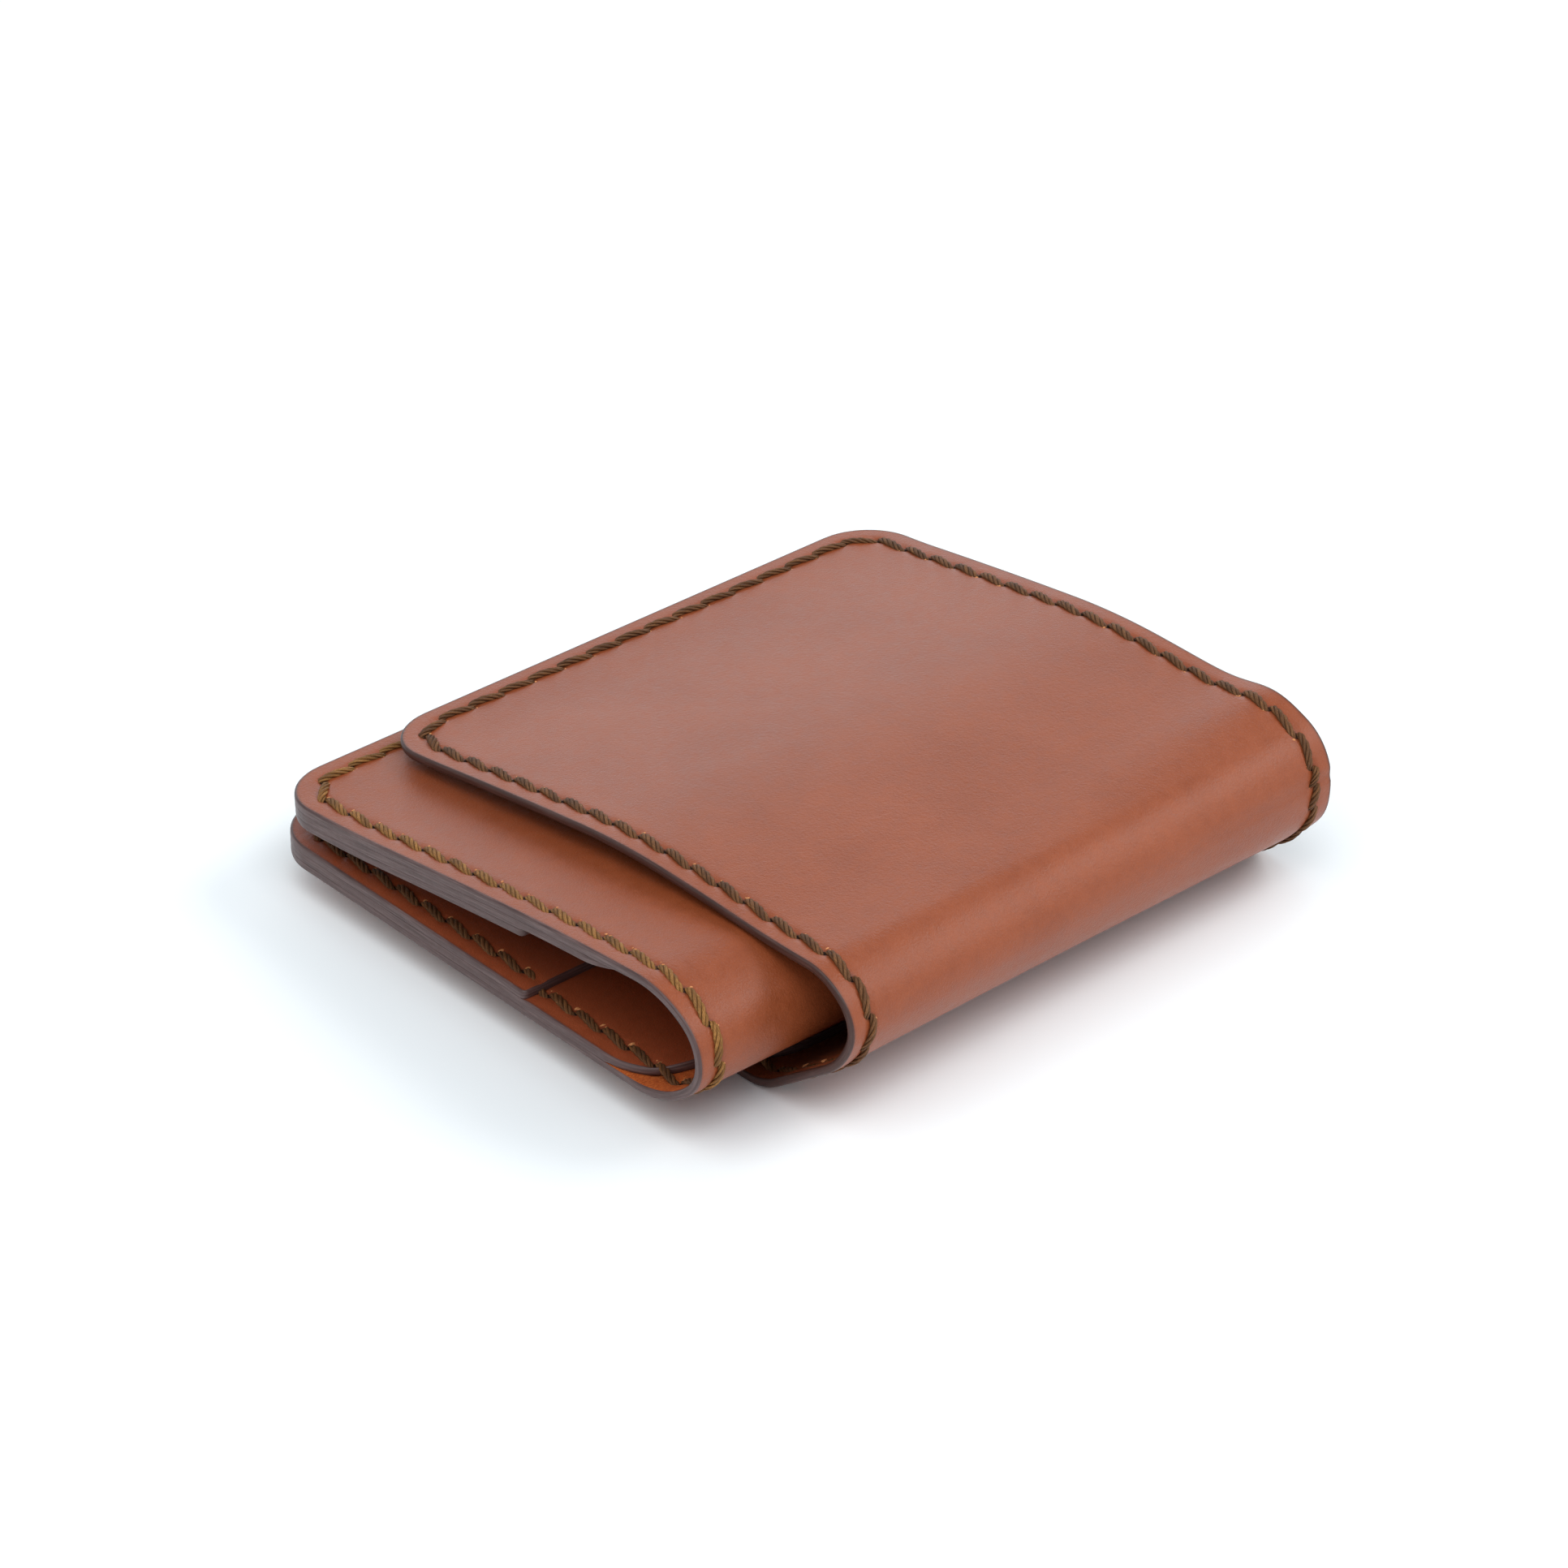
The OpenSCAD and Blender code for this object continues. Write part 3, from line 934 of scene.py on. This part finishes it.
def bend(obj, wallet, part):
    """Bakes a piece's transform into its mesh; the ends of its hinge are worked out but not used."""
    s = np.array(wallet.hinges[part])
    start, end = wallet.place(s, np.zeros(2), np.zeros(2))
    start[1] = end[1] = 0.0
    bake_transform(obj)


def stood_for(wallet, kind):
    """The CAD nodes of one kind that each third of the shell replaces."""
    n = wallet.name
    return [
        [f"{n}_base_{kind}"], [f"{n}_fold_low_{kind}"], [f"{n}_fold_high_{kind}", f"{n}_flap_{kind}"],
    ]


def rounded(*changes):
    """Rounding along an edge as a function of s, from pairs of s and rounding."""
    places, values = zip(*changes)
    return lambda s: np.interp(s, places, values)


def make_shell(wallet, materials):
    """A wallet's shell in three pieces that meet where it is cut."""
    base_end = wallet.pockets[0][3]
    inner_edge = [(base_end - FADE[0], FLUSH), (base_end - FADE[1], PROUD)]
    if len(wallet.pockets) > 2:
        flap_start = wallet.pockets[2][2]
        inner_edge += [(flap_start + FADE[1], PROUD), (flap_start + FADE[0], FLUSH)]
    sheet = Sheet(
        wallet, 0.0, wallet.length, -SHELL, SHELL, CORNER_R, CORNER_R,
        rounded((0, PROUD)), rounded(*inner_edge),
    )
    for part, label in enumerate(PARTS):
        begin, end = wallet.cuts[part:part + 2]
        obj = sheet.piece(f"{wallet.name}_shell_{label}", begin, end, materials)
        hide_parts(*stood_for(wallet, "shell")[part])
        bend(obj, wallet, part)


def make_thread(wallet, materials, rng):
    """A wallet's seam, both faces, in three pieces."""
    parts = []
    for outside in (True, False):
        parts += seam_thread(wallet, outside, rng)
        parts += hole_marks(wallet, outside, rng)
    for part, label in enumerate(PARTS):
        begin, end = wallet.cuts[part:part + 2]
        chosen = [p for p in parts if begin < p["s"] <= end]
        obj = joined(f"{wallet.name}_thread_{label}", chosen, materials)
        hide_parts(*stood_for(wallet, "thread")[part])
        bend(obj, wallet, part)


def make_pocket(wallet, body, kind, number, materials):
    """One pocket, hardly rounded where its edge is flush with its neighbours'."""
    low, high, s0, s1, r0, r1 = wallet.pockets[number]
    free, fold = (s0, s1) if r0 == CORNER_R else (s1, s0)
    back = math.copysign(1.0, free - fold)
    if kind == "upper":
        under = rounded((0, FLUSH))
        over = rounded((0, PROUD))
    else:
        mouth = wallet.pockets[number + 1][3 if r0 == CORNER_R else 2]
        under = rounded(
            *sorted([(fold + FADE[0] * back, FLUSH), (fold + FADE[1] * back, PROUD)])
        )
        over = rounded(*sorted([(mouth + 0.2 * back, FLUSH), (mouth - 0.5 * back, PROUD)]))
    sheet = Sheet(wallet, s0, s1, low, high, r0, r1, under, over)
    obj = sheet.piece(f"{body}_{kind}_pocket_leather", s0 - 1, s1 + 1, materials)
    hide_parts(f"{body}_{kind}_pocket")
    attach(obj, body)


AZIMUTH, ELEVATION = 48.74, 31.95       # of the camera, in degrees
DISTANCE = 926.0                        # from the camera to its target
TARGET = (14.5, -0.5, 14.0)
MOVE_LEFT, MOVE_UP = 12.72, 1.88        # of the camera, without turning it
LENS = 149.1


def make_camera():
    """A long lens aimed at the target, then moved aside to frame the wallets."""
    data = bpy.data.cameras.new("camera")
    camera = bpy.data.objects.new("camera", data)
    bpy.context.scene.collection.objects.link(camera)
    azimuth, elevation = math.radians(AZIMUTH), math.radians(ELEVATION)
    back = Vector(
        (
            math.sin(azimuth) * math.cos(elevation),
            -math.cos(azimuth) * math.cos(elevation),
            math.sin(elevation),
        )
    )
    right = Vector((math.cos(azimuth), math.sin(azimuth), 0))
    up = back.cross(right)
    place = Vector(TARGET) + back * DISTANCE - right * MOVE_LEFT + up * MOVE_UP
    camera.location = place * MM
    camera.rotation_mode = "QUATERNION"
    camera.rotation_quaternion = (-back).to_track_quat("-Z", "Y")
    data.lens = LENS
    data.sensor_width = 36.0
    data.clip_start, data.clip_end = 0.05, 20.0
    bpy.context.scene.camera = camera


def area_light(name, place, aim, size, power, colour):
    data = bpy.data.lights.new(name, "AREA")
    data.shape = "RECTANGLE"
    data.size, data.size_y = size
    data.energy = power
    data.color = colour
    light = bpy.data.objects.new(name, data)
    bpy.context.scene.collection.objects.link(light)
    light.location = place
    light.rotation_mode = "QUATERNION"
    light.rotation_quaternion = (Vector(aim) - Vector(place)).to_track_quat("-Z", "Y")


def make_studio():
    """The white table, the light of the room and five lamps."""
    bpy.ops.mesh.primitive_plane_add(size=8.0, location=(0, 0, 0))
    floor = bpy.context.object
    floor.name = "floor"
    floor.data.materials.append(floor_material())
    world = bpy.data.worlds.new("studio")
    bpy.context.scene.world = world
    world.use_nodes = True
    background = world.node_tree.nodes["Background"]
    background.inputs["Color"].default_value = (0.82, 0.93, 1.0, 1)
    background.inputs["Strength"].default_value = 0.56
    aim = (0.01, 0.0, 0.01)
    area_light("key", (0.15, -0.85, 1.45), aim, (1.5, 1.5), 11.5, (1.0, 0.985, 0.96))
    area_light("back", (0.46, 0.72, 0.82), aim, (0.66, 0.46), 4.6, (1.0, 0.99, 0.97))
    area_light("fill", (0.85, -0.25, 1.35), aim, (1.0, 0.8), 7.0, (0.88, 0.95, 1.0))
    area_light("low", (0.92, 0.66, 0.46), aim, (0.34, 0.34), 1.2, (1.0, 0.99, 0.97))
    area_light("side", (-1.15, 0.86, 0.44), aim, (1.5, 0.66), 4.6, (0.88, 0.95, 1.0))
    bpy.context.scene.view_settings.view_transform = "Standard"


def main():
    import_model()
    make_camera()
    outer, inner = wallets()
    edge = edge_material(
        "burnished_edge", (0.048, 0.022, 0.019), (0.088, 0.045, 0.041), (0.160, 0.098, 0.090)
    )
    red_edge = edge_material(
        "burnished_edge_red", (0.034, 0.012, 0.008), (0.056, 0.020, 0.014), (0.090, 0.040, 0.032)
    )
    # the second flesh material is darkened with painted shade for the inside of the outer wallet
    raw, shaded_flesh = flesh_material("flesh_side", 0.0), flesh_material("flesh_painted_shade", 0.6)
    outside = leather_material(
        "leather_tan", (0.312, 0.073, 0.024), (0.272, 0.061, 0.019), (0, 0, 0), 0.34
    )
    inside = leather_material(
        "leather_pocket", (0.31, 0.068, 0.024), (0.26, 0.054, 0.018), (300, 90, 0), 0.40
    )
    brown = thread_material(
        "thread_brown", (0.034, 0.012, 0.004), (0.17, 0.062, 0.018), (0.42, 0.19, 0.062)
    )
    golden = thread_material(
        "thread_golden", (0.060, 0.022, 0.006), (0.33, 0.135, 0.030), (0.68, 0.36, 0.11)
    )
    hole, torn = hole_shade_material(), torn_material()
    rng = np.random.default_rng(SEED)
    for wallet in (outer, inner):
        leather = [shaded_flesh, outside, red_edge] if wallet is outer else [raw, outside, edge]
        make_shell(wallet, leather)
        make_thread(wallet, [brown, hole, torn, golden], rng)
    leaves = ((outer, "outer_base", 0), (inner, "inner_base", 0), (inner, "inner_flap", 2))
    for wallet, body, first in leaves:
        for k, kind in enumerate(("lower", "upper")):
            make_pocket(wallet, body, kind, first + k, [inside, raw, edge])
    make_studio()


main()
